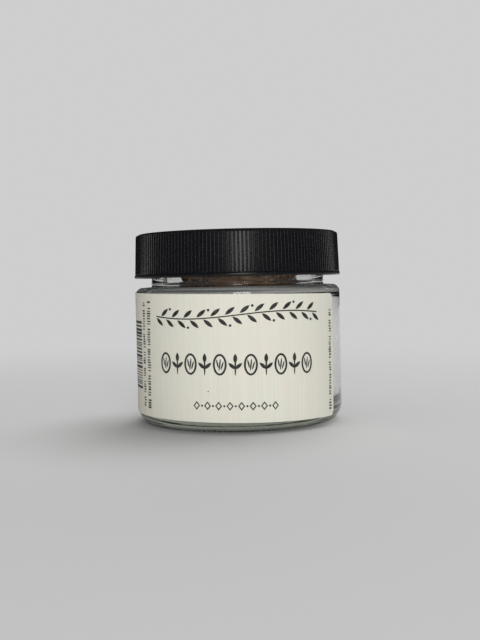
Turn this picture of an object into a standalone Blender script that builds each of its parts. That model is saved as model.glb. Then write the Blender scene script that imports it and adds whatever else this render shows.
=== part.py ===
"""A squat screw-capped glass jar with a wrapped paper label, filled with whole nutmegs.

Metres, +Z up. The jar stands on its base ring with the origin at the base's centre, and the label's
front faces -Y. An azimuth is an angle about +Z, counted from -Y towards +X.
"""

import math

import bmesh
import bpy
import numpy as np
from mathutils import Matrix

MM = 0.001
SEGMENTS = 72  # flat sides round every turned piece

# Glass jar
BODY_R = 32.5 * MM
WALL = 3.0 * MM
HEEL_R = 5.0 * MM  # round between the base and the side
RING_INNER_R = 24.0 * MM  # the flat ring that the jar stands on starts here
PUSH_UP = 1.6 * MM  # height of the hollow under the base
FLOOR_Z = 4.6 * MM  # top of the glass bottom
SHOULDER_Z = 42.75 * MM
SHOULDER_R = 2.3 * MM
NECK_R = 27.4 * MM
NECK_BORE_R = 24.6 * MM
NECK_FILLET = 0.9 * MM
LIP_Z = 57.2 * MM
LIP_ROUND = 0.8 * MM
INNER_HEEL_R = 4.0 * MM
INNER_SHOULDER_Z = 39.4 * MM  # where the inside starts to close in towards the neck
THROAT_Z = 42.4 * MM  # where it reaches the neck's bore

# Screw cap
CAP_LOW_Z = 45.7 * MM
CAP_TOP_Z = 59.5 * MM
CAP_RIM_R = 32.7 * MM
CAP_SKIRT_LOW_R = 32.5 * MM
CAP_SKIRT_TOP_R = 32.1 * MM
CAP_RIM_H = 1.1 * MM
CAP_EDGE_ROUND = 1.1 * MM
CAP_BORE_R = 30.2 * MM
CAP_TOP_THICK = 1.9 * MM

# Paper label
LABEL_LENGTH = 101.6 * MM
LABEL_HEIGHT = 37.2 * MM
LABEL_LOW_Z = 3.35 * MM  # its lower edge at the front
LABEL_RIGHT_END = math.radians(61)
LABEL_CROOKED = math.radians(0.93)  # its right end hangs low by this angle
LABEL_CORNER_R = 2.0 * MM
LABEL_GAP = 0.25 * MM
LABEL_THICK = 0.2 * MM
LABEL_COLUMNS = 32
LABEL_CORNER_STEPS = 3

# Nutmegs
NUT_HALF_LENGTH = 12.0 * MM
NUT_HALF_WIDTH = 9.0 * MM
NUT_SIZES = (0.93, 1.06)  # smallest and largest, against the sizes above
NUT_SEED = 17
NUT_LAYERS = (  # how many lie in a ring, the ring's radius, its height, and the first one's azimuth
    (6, 19.5 * MM, 14 * MM, math.radians(0)),
    (1, 0.0, 14 * MM, 0.0),
    (6, 19.0 * MM, 32 * MM, math.radians(30)),
    (1, 0.0, 32 * MM, 0.0),
    (3, 12.0 * MM, 46 * MM, math.radians(4)),
)
NUT_TOP_Z = 52.5 * MM
HEAP_TURN = math.radians(-16)  # the settled heap is then turned about the jar's axis
NUT_CLEARANCE = 0.3 * MM  # from the glass
SETTLE_STEPS = 900
SETTLE_DROP = 0.06 * MM  # fall in each step at first
BALL_OFFSETS = np.array([-0.42, 0.0, 0.42])  # three balls along a nut stand for it while it settles
BALL_SIZES = np.array([0.80, 1.0, 0.80])
HEAP_CENTRE_Z = 25.0 * MM
HEAP_CORE = 0.74  # the gaps between nuts reach in to this share of the jar's inside
SHOULDER_CLEARANCE = 0.9 * MM  # of the heap from the shoulder and the neck
HEAP_ROUND = 60
HEAP_RINGS = 28


def clear_scene():
    for old in list(bpy.data.objects):
        bpy.data.objects.remove(old, do_unlink=True)


def material(name, colour, roughness, transmission=0.0):
    made = bpy.data.materials.new(name)
    made.use_nodes = True
    shader = made.node_tree.nodes["Principled BSDF"]
    shader.inputs["Base Color"].default_value = (*colour, 1.0)
    shader.inputs["Roughness"].default_value = roughness
    shader.inputs["Metallic"].default_value = 0.0
    shader.inputs["Transmission Weight"].default_value = transmission
    made.diffuse_color = (*colour, 1.0)
    return made


def add_object(name, mesh_build, finish, crease_deg=40):
    mesh = bpy.data.meshes.new(name)
    mesh_build.to_mesh(mesh)
    mesh_build.free()
    mesh.shade_smooth()
    mesh.set_sharp_from_angle(angle=math.radians(crease_deg))
    mesh.materials.append(finish)
    made = bpy.data.objects.new(name, mesh)
    bpy.context.scene.collection.objects.link(made)
    return made


def arc(centre_r, centre_z, radius, start_deg, end_deg, steps):
    """Points of a profile's round corner, as (distance from the axis, height)."""
    angles = (math.radians(start_deg + (end_deg - start_deg) * k / steps) for k in range(steps + 1))
    return [(centre_r + radius * math.cos(a), centre_z + radius * math.sin(a)) for a in angles]


def turned(profile):
    """Spins a profile, which starts and ends on the axis or closes on itself, into a solid."""
    build = bmesh.new()
    points = [build.verts.new((r, 0.0, z)) for r, z in profile]
    edges = [build.edges.new(pair) for pair in zip(points, points[1:])]
    if profile[0][0] > 0:
        edges.append(build.edges.new((points[-1], points[0])))
    bmesh.ops.spin(
        build,
        geom=points + edges,
        cent=(0, 0, 0),
        axis=(0, 0, 1),
        angle=math.tau,
        steps=SEGMENTS,
        use_merge=True,
    )
    bmesh.ops.remove_doubles(build, verts=build.verts, dist=0.001 * MM)
    bmesh.ops.recalc_face_normals(build, faces=build.faces)
    return build


def jar_profile():
    inner_r = BODY_R - WALL
    outside = [(0.0, PUSH_UP), (RING_INNER_R * 0.8, PUSH_UP * 0.8), (RING_INNER_R, 0.0)]
    outside += arc(BODY_R - HEEL_R, HEEL_R, HEEL_R, -90, 0, 4)
    outside += arc(BODY_R - SHOULDER_R, SHOULDER_Z - SHOULDER_R, SHOULDER_R, 0, 90, 3)
    outside += arc(NECK_R + NECK_FILLET, SHOULDER_Z + NECK_FILLET, NECK_FILLET, 270, 180, 2)
    outside += arc(NECK_R - LIP_ROUND, LIP_Z - LIP_ROUND, LIP_ROUND, 0, 90, 2)
    inside = arc(NECK_BORE_R + LIP_ROUND, LIP_Z - LIP_ROUND, LIP_ROUND, 90, 180, 2)
    inside += [(NECK_BORE_R, THROAT_Z), (inner_r, INNER_SHOULDER_Z)]
    inside += arc(inner_r - INNER_HEEL_R, FLOOR_Z + INNER_HEEL_R, INNER_HEEL_R, 0, -90, 3)
    return outside + inside + [(0.0, FLOOR_Z)]


def make_jar():
    glass = material("jar_glass", (0.93, 0.96, 0.94), 0.02, transmission=1.0)
    return add_object("jar", turned(jar_profile()), glass)


def make_cap():
    black = material("cap_black_plastic", (0.012, 0.012, 0.014), 0.35)
    profile = [(0.0, CAP_TOP_Z)]
    edge = arc(CAP_SKIRT_TOP_R - CAP_EDGE_ROUND, CAP_TOP_Z - CAP_EDGE_ROUND, CAP_EDGE_ROUND, 90, 0, 3)
    profile += edge
    profile += [(CAP_SKIRT_LOW_R, CAP_LOW_Z + CAP_RIM_H), (CAP_RIM_R, CAP_LOW_Z + CAP_RIM_H * 0.8)]
    profile += [(CAP_RIM_R, CAP_LOW_Z), (CAP_BORE_R, CAP_LOW_Z)]
    profile += [(CAP_BORE_R, CAP_TOP_Z - CAP_TOP_THICK), (0.0, CAP_TOP_Z - CAP_TOP_THICK)]
    return add_object("cap", turned(profile), black, crease_deg=30)


def label_columns():
    """Positions along the label from its left end, closer together at its round corners."""
    corner = [LABEL_CORNER_R * (1 - math.cos(math.radians(90) * k / LABEL_CORNER_STEPS))
              for k in range(LABEL_CORNER_STEPS)]
    middle = [LABEL_CORNER_R + (LABEL_LENGTH - 2 * LABEL_CORNER_R) * k / LABEL_COLUMNS
              for k in range(LABEL_COLUMNS + 1)]
    return corner + middle + [LABEL_LENGTH - s for s in reversed(corner)]


def make_label():
    paper = material("label_paper", (0.70, 0.69, 0.61), 0.7)
    radius = BODY_R + LABEL_GAP
    build = bmesh.new()
    pairs = []
    for along in label_columns():
        from_end = min(along, LABEL_LENGTH - along, LABEL_CORNER_R)
        inset = LABEL_CORNER_R - math.sqrt(LABEL_CORNER_R**2 - (LABEL_CORNER_R - from_end) ** 2)
        azimuth = LABEL_RIGHT_END - (LABEL_LENGTH - along) / BODY_R
        drop = azimuth * BODY_R * math.tan(LABEL_CROOKED)
        x = radius * math.sin(azimuth)
        y = -radius * math.cos(azimuth)
        low = build.verts.new((x, y, LABEL_LOW_Z - drop + inset))
        high = build.verts.new((x, y, LABEL_LOW_Z - drop + LABEL_HEIGHT - inset))
        pairs.append((low, high))
    for left, right in zip(pairs, pairs[1:]):
        build.faces.new((left[0], right[0], right[1], left[1]))
    label = add_object("label", build, paper)
    thick = label.modifiers.new("paper thickness", "SOLIDIFY")
    thick.thickness = LABEL_THICK
    thick.offset = 1.0
    return label


def shoulder_sum():
    """The nutmegs settle under a cone at the shoulder, where distance from the axis plus height makes this."""
    return BODY_R - WALL + INNER_SHOULDER_Z


def settled_nuts():
    """Centres, long axes and sizes of the nutmegs, after they have sunk into the jar together."""
    random = np.random.default_rng(NUT_SEED)
    centres = []
    axes = []
    for count, ring_r, height, first in NUT_LAYERS:
        for k in range(count):
            azimuth = first + math.tau * k / count
            centres.append((ring_r * math.sin(azimuth), -ring_r * math.cos(azimuth), height))
            axes.append((math.cos(azimuth), math.sin(azimuth), 0.0))
    centres = np.array(centres)
    axes = np.array(axes) + random.normal(scale=0.45, size=(len(axes), 3))
    axes /= np.linalg.norm(axes, axis=1)[:, None]
    sizes = random.uniform(*NUT_SIZES, size=len(centres))
    ball_r = (NUT_HALF_WIDTH * sizes[:, None] * BALL_SIZES).ravel()
    ball_at = NUT_HALF_LENGTH * sizes[:, None] * BALL_OFFSETS
    owner = np.repeat(np.arange(len(centres)), len(BALL_OFFSETS))
    apart = owner[:, None] != owner[None, :]
    for step in range(SETTLE_STEPS):
        centres[:, 2] -= SETTLE_DROP * (1 - step / SETTLE_STEPS)
        balls = (centres[:, None] + axes[:, None] * ball_at[..., None]).reshape(-1, 3)
        between = balls[:, None] - balls[None]
        distance = np.linalg.norm(between, axis=2) + ~apart
        depth = np.clip(ball_r[:, None] + ball_r[None] - distance, 0, None) * apart
        push = 0.3 * (between / distance[..., None] * depth[..., None]).sum(axis=1)
        push += 0.6 * wall_push(balls, ball_r)
        push = push.reshape(len(centres), -1, 3)
        centres += push.sum(axis=1)
        axes += (push * ball_at[..., None]).sum(axis=1) / (3 * NUT_HALF_WIDTH**2)
        axes /= np.linalg.norm(axes, axis=1)[:, None]
    turn = np.array(Matrix.Rotation(HEAP_TURN, 3, "Z")).T
    return centres @ turn, axes @ turn, sizes


def wall_push(balls, ball_r):
    """How far each ball has to move to be back inside the jar."""
    away = np.linalg.norm(balls[:, :2], axis=1)
    body = BODY_R - WALL - NUT_CLEARANCE - ball_r
    shoulder = shoulder_sum() - balls[:, 2] - math.sqrt(2) * (ball_r + NUT_CLEARANCE)
    room = np.maximum(np.minimum(body, shoulder), NECK_BORE_R - NUT_CLEARANCE - ball_r)
    push = np.zeros_like(balls)
    out = np.clip(away - room, 0, None)
    push[:, :2] = -balls[:, :2] * (out / np.maximum(away, 1e-9))[:, None]
    push[:, 2] = np.clip(FLOOR_Z + NUT_CLEARANCE + ball_r - balls[:, 2], 0, None)
    push[:, 2] -= np.clip(balls[:, 2] + ball_r - NUT_TOP_Z, 0, None)
    return push


def reach_in_jar(across, up):
    """How far a ray from the heap's centre runs inside the jar, for its slope across and up."""
    across = np.maximum(across, 1e-6)
    body = (BODY_R - WALL - NUT_CLEARANCE) / across
    slope = math.atan2(BODY_R - WALL - NECK_BORE_R, THROAT_Z - INNER_SHOULDER_Z)
    towards = across * math.cos(slope) + up * math.sin(slope)
    cone = NECK_BORE_R * math.cos(slope) + (THROAT_Z - HEAP_CENTRE_Z) * math.sin(slope) - SHOULDER_CLEARANCE
    shoulder = np.where(towards > 0, cone / np.maximum(towards, 1e-6), np.inf)
    neck = (NECK_BORE_R - SHOULDER_CLEARANCE) / across
    side = np.maximum(np.minimum(body, shoulder), neck)
    top = np.where(up > 0, (NUT_TOP_Z - HEAP_CENTRE_Z) / np.maximum(up, 1e-6), np.inf)
    floor = HEAP_CENTRE_Z - FLOOR_Z - NUT_CLEARANCE
    bottom = np.where(up < 0, floor / np.maximum(-up, 1e-6), np.inf)
    return np.minimum(side, np.minimum(top, bottom))


def reach_in_nut(ray, centre, axis, size):
    """Where rays from the heap's centre leave one nutmeg, or 0 where they miss it."""
    half = np.array([NUT_HALF_WIDTH, NUT_HALF_LENGTH]) * size
    start = np.array([0.0, 0.0, HEAP_CENTRE_Z]) - centre
    ray_in = ray / half[0] + np.outer(ray @ axis, axis) * (1 / half[1] - 1 / half[0])
    start_in = start / half[0] + axis * (start @ axis) * (1 / half[1] - 1 / half[0])
    a = (ray_in**2).sum(axis=1)
    b = ray_in @ start_in
    c = start_in @ start_in - 1
    root = b**2 - a * c
    return np.where(root > 0, (-b + np.sqrt(np.maximum(root, 0))) / a, 0.0)


def make_nutmegs():
    """The heap as one solid, out to the nuts that lie against the glass and into the gaps between."""
    brown = material("nutmeg_brown", (0.16, 0.09, 0.05), 0.6)
    build = bmesh.new()
    bmesh.ops.create_uvsphere(build, u_segments=HEAP_ROUND, v_segments=HEAP_RINGS, radius=1.0)
    ray = np.array([v.co[:] for v in build.verts])
    limit = reach_in_jar(np.linalg.norm(ray[:, :2], axis=1), ray[:, 2])
    reach = limit * HEAP_CORE
    for centre, axis, size in zip(*settled_nuts()):
        reach = np.maximum(reach, reach_in_nut(ray, centre, axis, size))
    points = ray * np.minimum(reach, limit)[:, None] + [0.0, 0.0, HEAP_CENTRE_Z]
    for vertex, point in zip(build.verts, points):
        vertex.co = point
    return add_object("nutmegs", build, brown, crease_deg=60)


def main():
    clear_scene()
    make_jar()
    make_cap()
    make_label()
    make_nutmegs()


main()
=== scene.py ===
"""The looks of a jar of whole nutmegs: glass, screw cap, printed paper label and the nuts inside.

Metres, +Z up. The jar stands on the origin and its label faces -Y. An azimuth is an angle about +Z,
counted from -Y towards +X. A piece that lies on the jar's side is modelled flat, with x along the
side from the front and z up, and is then bent round the jar.
"""

import math

import bmesh
import bpy
import numpy as np
from mathutils import Matrix, Vector


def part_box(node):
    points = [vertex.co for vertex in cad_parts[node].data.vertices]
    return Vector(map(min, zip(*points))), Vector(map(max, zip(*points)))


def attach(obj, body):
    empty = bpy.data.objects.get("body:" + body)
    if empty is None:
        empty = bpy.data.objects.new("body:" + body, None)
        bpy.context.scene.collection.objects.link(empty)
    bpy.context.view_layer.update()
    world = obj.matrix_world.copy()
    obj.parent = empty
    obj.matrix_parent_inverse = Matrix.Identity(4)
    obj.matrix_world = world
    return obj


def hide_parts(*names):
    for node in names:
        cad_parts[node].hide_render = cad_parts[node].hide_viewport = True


bl_info = {
    "name": "Nutmeg Jar",
    "version": (1, 0, 0),
    "blender": (4, 5, 0),
    "location": "3D View > Sidebar > Nutmeg Jar",
    "description": "Models a glass jar of whole nutmegs with its cap and label",
    "category": "Add Mesh",
}

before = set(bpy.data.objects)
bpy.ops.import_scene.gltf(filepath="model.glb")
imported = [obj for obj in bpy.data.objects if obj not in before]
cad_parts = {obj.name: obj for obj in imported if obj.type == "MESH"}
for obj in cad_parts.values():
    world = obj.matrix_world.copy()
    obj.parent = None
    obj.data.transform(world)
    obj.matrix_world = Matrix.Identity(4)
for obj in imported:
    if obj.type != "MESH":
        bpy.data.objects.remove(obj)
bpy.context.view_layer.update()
_, JAR_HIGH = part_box("jar")
CAP_LOW, CAP_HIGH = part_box("cap")

MM = 0.001
BODY_R = JAR_HIGH.x
LIP_Z = JAR_HIGH.z
WELD = 0.001 * MM


# ---------------- modelling helpers


def finish_mode():
    if bpy.context.object and bpy.context.object.mode != "OBJECT":
        bpy.ops.object.mode_set(mode="OBJECT")


def select_none():
    finish_mode()
    bpy.ops.object.select_all(action="DESELECT")


def select_pieces(*pieces):
    select_none()
    for piece in pieces:
        piece.select_set(True)
    bpy.context.view_layer.objects.active = pieces[0]


def named(name):
    """The piece that was just added, under its own name."""
    piece = bpy.context.object
    piece.name = name
    piece.data.name = name
    return piece


def open_mesh(mode="VERT", select=True):
    bpy.ops.object.mode_set(mode="EDIT")
    bpy.ops.mesh.select_mode(type=mode)
    bpy.ops.mesh.select_all(action="SELECT" if select else "DESELECT")


def select_where(piece, kind, wanted):
    """In edit mode, selects the verts, edges or faces that pass the test."""
    bpy.ops.mesh.select_all(action="DESELECT")
    build = bmesh.from_edit_mesh(piece.data)
    for part in getattr(build, kind):
        if wanted(part):
            part.select_set(True)
    bmesh.update_edit_mesh(piece.data)


def apply_place(piece):
    select_pieces(piece)
    bpy.ops.object.transform_apply(location=True, rotation=True, scale=True)


def apply_modifier(piece, kind, **settings):
    select_pieces(piece)
    modifier = piece.modifiers.new(kind.lower(), kind)
    for setting, value in settings.items():
        setattr(modifier, setting, value)
    bpy.ops.object.modifier_apply(modifier=modifier.name)


def joined(name, pieces):
    select_pieces(*pieces)
    if len(pieces) > 1:
        bpy.ops.object.join()
    return named(name)


def shade(piece, crease_deg=None):
    select_pieces(piece)
    if crease_deg is None:
        bpy.ops.object.shade_smooth()
    else:
        bpy.ops.object.shade_smooth_by_angle(angle=math.radians(crease_deg))


def dress(piece, finish, slot, *stands_for):
    """Gives a finished piece its material and its place in the frame."""
    piece.data.materials.clear()
    piece.data.materials.append(finish)
    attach(piece, "root")
    if stands_for:
        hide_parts(*stands_for)


def arc(centre_r, centre_z, radius, start_deg, end_deg, steps):
    """Points of a round corner in a turned outline, as (distance from the axis, height)."""
    angles = (math.radians(start_deg + (end_deg - start_deg) * k / steps) for k in range(steps + 1))
    return [(centre_r + radius * math.cos(a), centre_z + radius * math.sin(a)) for a in angles]


def turned(name, outline, steps):
    """Draws an outline by extruding a point from place to place, and spins it about the Z axis."""
    select_none()
    bpy.ops.mesh.primitive_plane_add(size=MM, location=(outline[0][0], 0, outline[0][1]))
    piece = named(name)
    apply_place(piece)
    open_mesh()
    bpy.ops.mesh.merge(type="CENTER")
    for (r0, z0), (r1, z1) in zip(outline, outline[1:]):
        bpy.ops.mesh.extrude_region_move(TRANSFORM_OT_translate={"value": (r1 - r0, 0, z1 - z0)})
    bpy.ops.mesh.select_all(action="SELECT")
    bpy.ops.mesh.spin(steps=steps, angle=math.tau, center=(0, 0, 0), axis=(0, 0, 1))
    bpy.ops.mesh.select_all(action="SELECT")
    bpy.ops.mesh.remove_doubles(threshold=WELD)
    bpy.ops.mesh.normals_make_consistent(inside=False)
    finish_mode()
    return piece


def wrap_round(piece, radius, step):
    """Bends a flat piece, lying in the XZ plane, round an upright cylinder about the Z axis."""
    low = min(v.co.x for v in piece.data.vertices)
    high = max(v.co.x for v in piece.data.vertices)
    select_pieces(piece)
    open_mesh()
    for k in range(math.floor(low / step) + 1, math.ceil(high / step)):
        bpy.ops.mesh.select_all(action="SELECT")
        bpy.ops.mesh.bisect(plane_co=(k * step, 0, 0), plane_no=(1, 0, 0))
    finish_mode()
    apply_modifier(
        piece, "SIMPLE_DEFORM", deform_method="BEND", deform_axis="Z", angle=(high - low) / radius
    )


# ---------------- shader helpers


def new_material(name, colour, roughness):
    """A material and its Principled shader."""
    made = bpy.data.materials.new(name)
    made.use_nodes = True
    shader = made.node_tree.nodes["Principled BSDF"]
    shader.inputs["Base Color"].default_value = (*colour, 1)
    shader.inputs["Roughness"].default_value = roughness
    return made, shader


def add_node(tree, kind, place=(0, 0), **settings):
    node = tree.nodes.new(kind)
    node.location = place
    for setting, value in settings.items():
        setattr(node, setting, value)
    return node


def set_inputs(node, **values):
    for name, value in values.items():
        node.inputs[name.replace("_", " ")].default_value = value
    return node


def object_coordinates(tree, scale=(1, 1, 1), place=(-1100, 0)):
    """Object coordinates, stretched by a Mapping node."""
    where = add_node(tree, "ShaderNodeTexCoord", (place[0] - 200, place[1]))
    mapping = add_node(tree, "ShaderNodeMapping", place)
    mapping.inputs["Scale"].default_value = scale
    tree.links.new(where.outputs["Object"], mapping.inputs["Vector"])
    return mapping.outputs["Vector"]


def ramp(tree, value, stops, place=(-500, 0)):
    """A colour ramp from (position, colour) stops."""
    made = add_node(tree, "ShaderNodeValToRGB", place)
    elements = made.color_ramp.elements
    while len(elements) < len(stops):
        elements.new(0.5)
    for element, (position, colour) in zip(elements, stops):
        element.position = position
        element.color = (*colour, 1)
    tree.links.new(value, made.inputs["Fac"])
    return made.outputs["Color"]


def mixed_colour(tree, fac, first, second, blend="MIX", place=(-300, 0)):
    """Mixes two colours. Each may be a socket or a plain colour, and so may the share."""
    mix = add_node(tree, "ShaderNodeMix", place, data_type="RGBA", blend_type=blend)
    for socket, value in ((mix.inputs[0], fac), (mix.inputs[6], first), (mix.inputs[7], second)):
        if isinstance(value, bpy.types.NodeSocket):
            tree.links.new(value, socket)
        else:
            socket.default_value = value if isinstance(value, float) else (*value, 1)
    return mix.outputs[2]


def mixed_shader(tree, fac, first, second, place=(200, 0)):
    mix = add_node(tree, "ShaderNodeMixShader", place)
    for socket, source in zip(mix.inputs, (fac, first, second)):
        tree.links.new(source, socket)
    return mix.outputs["Shader"]


def seen_plainly(tree, place):
    """One for a ray from the camera or through clear glass, and nought for any other ray."""
    paths = add_node(tree, "ShaderNodeLightPath", place)
    seen = add_node(tree, "ShaderNodeMath", (place[0] + 200, place[1]), operation="MAXIMUM")
    tree.links.new(paths.outputs["Is Camera Ray"], seen.inputs[0])
    tree.links.new(paths.outputs["Is Transmission Ray"], seen.inputs[1])
    return seen.outputs["Value"]


def grain_group():
    """The grain of every dry surface here: a height and a mask, from two sizes of noise."""
    name = "surface grain"
    if name in bpy.data.node_groups:
        return bpy.data.node_groups[name]
    tree = bpy.data.node_groups.new(name, "ShaderNodeTree")
    sockets = tree.interface
    sockets.new_socket(name="Vector", in_out="INPUT", socket_type="NodeSocketVector")
    for label, default in (("Coarse scale", 300.0), ("Fine scale", 2500.0), ("Fine share", 0.4)):
        socket = sockets.new_socket(name=label, in_out="INPUT", socket_type="NodeSocketFloat")
        socket.default_value = default
    sockets.new_socket(name="Height", in_out="OUTPUT", socket_type="NodeSocketFloat")
    sockets.new_socket(name="Mask", in_out="OUTPUT", socket_type="NodeSocketFloat")
    start = add_node(tree, "NodeGroupInput", (-800, 0))
    end = add_node(tree, "NodeGroupOutput", (400, 0))
    coarse = add_node(tree, "ShaderNodeTexNoise", (-500, 150))
    fine = add_node(tree, "ShaderNodeTexNoise", (-500, -150))
    set_inputs(coarse, Detail=3.0, Roughness=0.55)
    set_inputs(fine, Detail=2.0, Roughness=0.6)
    for noise, scale in ((coarse, "Coarse scale"), (fine, "Fine scale")):
        tree.links.new(start.outputs["Vector"], noise.inputs["Vector"])
        tree.links.new(start.outputs[scale], noise.inputs["Scale"])
    blend = add_node(tree, "ShaderNodeMix", (-200, 0), data_type="FLOAT")
    tree.links.new(start.outputs["Fine share"], blend.inputs[0])
    tree.links.new(coarse.outputs["Fac"], blend.inputs[2])
    tree.links.new(fine.outputs["Fac"], blend.inputs[3])
    sharpen = add_node(tree, "ShaderNodeMapRange", (100, -150))
    set_inputs(sharpen, From_Min=0.42, From_Max=0.62)
    tree.links.new(coarse.outputs["Fac"], sharpen.inputs["Value"])
    tree.links.new(blend.outputs[0], end.inputs["Height"])
    tree.links.new(sharpen.outputs["Result"], end.inputs["Mask"])
    return tree


def add_grain(tree, vector, coarse, fine, share):
    group = add_node(tree, "ShaderNodeGroup", (-850, -250))
    group.node_tree = grain_group()
    set_inputs(group, Coarse_scale=coarse, Fine_scale=fine, Fine_share=share)
    tree.links.new(vector, group.inputs["Vector"])
    return group.outputs["Height"], group.outputs["Mask"]


def add_bump(tree, shader, height, distance, strength, before=None):
    """Lets a height tilt the shader's normal, on top of an earlier normal if there is one."""
    bump = add_node(tree, "ShaderNodeBump", (-250, -400))
    set_inputs(bump, Strength=strength, Distance=distance)
    tree.links.new(height, bump.inputs["Height"])
    if before is not None:
        tree.links.new(before, bump.inputs["Normal"])
    tree.links.new(bump.outputs["Normal"], shader.inputs["Normal"])
    return bump.outputs["Normal"]


# ---------------- materials

GLASS_IOR = 1.52
GLASS_TINT = (0.675, 0.690, 0.645)
GLASS_TINT_DENSITY = 60.0  # per metre
GLASS_SHADE = (0.93, 0.94, 0.92)  # what a shadow ray keeps at each surface
CAP_DULL_DEPTHS = (0.9 * MM, 0.2 * MM)  # below the top, where the cap starts to dull and is dull
CAP_DULLING = 0.38


def glass_material(name, transmission, roughness):
    """Clear soda glass, grey-green where it is thick, with the slow ripple of a moulded wall."""
    made, shader = new_material(name, (0.97, 0.985, 0.975), roughness)
    set_inputs(shader, Transmission_Weight=transmission, IOR=GLASS_IOR)
    tree = made.node_tree
    ripple = add_node(tree, "ShaderNodeTexNoise", (-600, -300))
    set_inputs(ripple, Scale=70.0, Detail=1.0)
    tree.links.new(object_coordinates(tree, (1, 1, 0.35)), ripple.inputs["Vector"])
    add_bump(tree, shader, ripple.outputs["Fac"], 0.06 * MM, 0.6)
    absorb = add_node(tree, "ShaderNodeVolumeAbsorption", (0, -400))
    set_inputs(absorb, Color=(*GLASS_TINT, 1), Density=GLASS_TINT_DENSITY)
    paths = add_node(tree, "ShaderNodeLightPath", (0, 400))
    clear = add_node(tree, "ShaderNodeBsdfTransparent", (0, 100))
    set_inputs(clear, Color=(*GLASS_SHADE, 1))
    lets_light_in = mixed_shader(
        tree, paths.outputs["Is Shadow Ray"], shader.outputs["BSDF"], clear.outputs["BSDF"]
    )
    end = tree.nodes["Material Output"]
    tree.links.new(absorb.outputs["Volume"], end.inputs["Volume"])
    tree.links.new(lets_light_in, end.inputs["Surface"])
    return made


def shoulder_glass_material():
    """The thick glass of the shoulder, made less clear and pale, with fine level streaks in its
    colour: painted light, standing in for the grey glow that the thick shoulder bends and reflects.
    """
    # Less clear than the rest of the jar and pale in colour: painted light for the grey glow of the
    # shoulder.
    made = glass_material("shoulder_glass", 0.76, 0.06)
    tree = made.node_tree
    # Level streaks of darker and paler grey in the colour: painted reflection in the shoulder's
    # glass.
    streaks = add_node(tree, "ShaderNodeTexNoise", (-850, 250))
    set_inputs(streaks, Scale=60.0, Detail=2.0)
    level = object_coordinates(tree, (0.35, 0.35, 22), (-1100, 300))
    tree.links.new(level, streaks.inputs["Vector"])
    stops = [(0.38, (0.34, 0.36, 0.34)), (0.62, (1.0, 1.0, 0.97))]
    colour = ramp(tree, streaks.outputs["Fac"], stops, (-600, 250))
    tree.links.new(colour, tree.nodes["Principled BSDF"].inputs["Base Color"])
    return made


def cap_material():
    """Black moulded plastic with fine grain and a soft sheen, duller on the flat top."""
    made, shader = new_material("black_plastic", (0.007, 0.007, 0.008), 0.32)
    shader.inputs["Specular IOR Level"].default_value = 0.27
    tree = made.node_tree
    height, mask = add_grain(tree, object_coordinates(tree), 1500.0, 3800.0, 0.6)
    colour = mixed_colour(tree, mask, (0.0050, 0.0050, 0.0060), (0.0080, 0.0080, 0.0096))
    tree.links.new(colour, shader.inputs["Base Color"])
    rough = add_node(tree, "ShaderNodeMapRange", (-300, 150))
    set_inputs(rough, To_Min=0.24, To_Max=0.30)
    tree.links.new(mask, rough.inputs["Value"])
    split = add_node(tree, "ShaderNodeSeparateXYZ", (-850, 400))
    tree.links.new(object_coordinates(tree), split.inputs["Vector"])
    dull = add_node(tree, "ShaderNodeMapRange", (-600, 400))
    starts, ends = (CAP_HIGH.z - depth for depth in CAP_DULL_DEPTHS)
    set_inputs(dull, From_Min=starts, From_Max=ends, To_Min=0.0, To_Max=CAP_DULLING)
    tree.links.new(split.outputs["Z"], dull.inputs["Value"])
    total = add_node(tree, "ShaderNodeMath", (-100, 250), operation="ADD")
    tree.links.new(rough.outputs["Result"], total.inputs[0])
    tree.links.new(dull.outputs["Result"], total.inputs[1])
    tree.links.new(total.outputs["Value"], shader.inputs["Roughness"])
    add_bump(tree, shader, height, 0.02 * MM, 0.3)
    return made


def paper_material():
    """Cream laid paper: fine upright lines, fibres, and a faint drift of tint."""
    made, shader = new_material("cream_paper", (0.72, 0.70, 0.62), 0.82)
    tree = made.node_tree
    height, mask = add_grain(tree, object_coordinates(tree), 180.0, 2600.0, 0.65)
    lines = add_node(tree, "ShaderNodeTexNoise", (-850, 250))
    set_inputs(lines, Scale=3000.0, Detail=1.0)
    upright = object_coordinates(tree, (1, 1, 0.012), (-1100, 300))
    tree.links.new(upright, lines.inputs["Vector"])
    stops = [(0.35, (0.668, 0.653, 0.575)), (0.65, (0.702, 0.688, 0.609))]
    laid = ramp(tree, lines.outputs["Fac"], stops, (-600, 250))
    warm, cool = (1.0, 0.985, 0.975), (0.985, 1.0, 0.985)
    drift = mixed_colour(tree, mask, warm, cool, place=(-600, 0))
    colour = mixed_colour(tree, 1.0, laid, drift, "MULTIPLY")
    tree.links.new(colour, shader.inputs["Base Color"])
    ridges = add_bump(tree, shader, lines.outputs["Fac"], 0.02 * MM, 0.5)
    add_bump(tree, shader, height, 0.03 * MM, 0.6, before=ridges)
    return made


def ink_material():
    """Black ink, a little thin where the paper's grain shows through."""
    made, shader = new_material("black_ink", (0.02, 0.018, 0.016), 0.6)
    tree = made.node_tree
    height, mask = add_grain(tree, object_coordinates(tree), 1500.0, 4200.0, 0.5)
    colour = mixed_colour(tree, mask, (0.012, 0.011, 0.010), (0.040, 0.037, 0.033))
    tree.links.new(colour, shader.inputs["Base Color"])
    add_bump(tree, shader, height, 0.01 * MM, 0.5)
    return made


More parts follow.
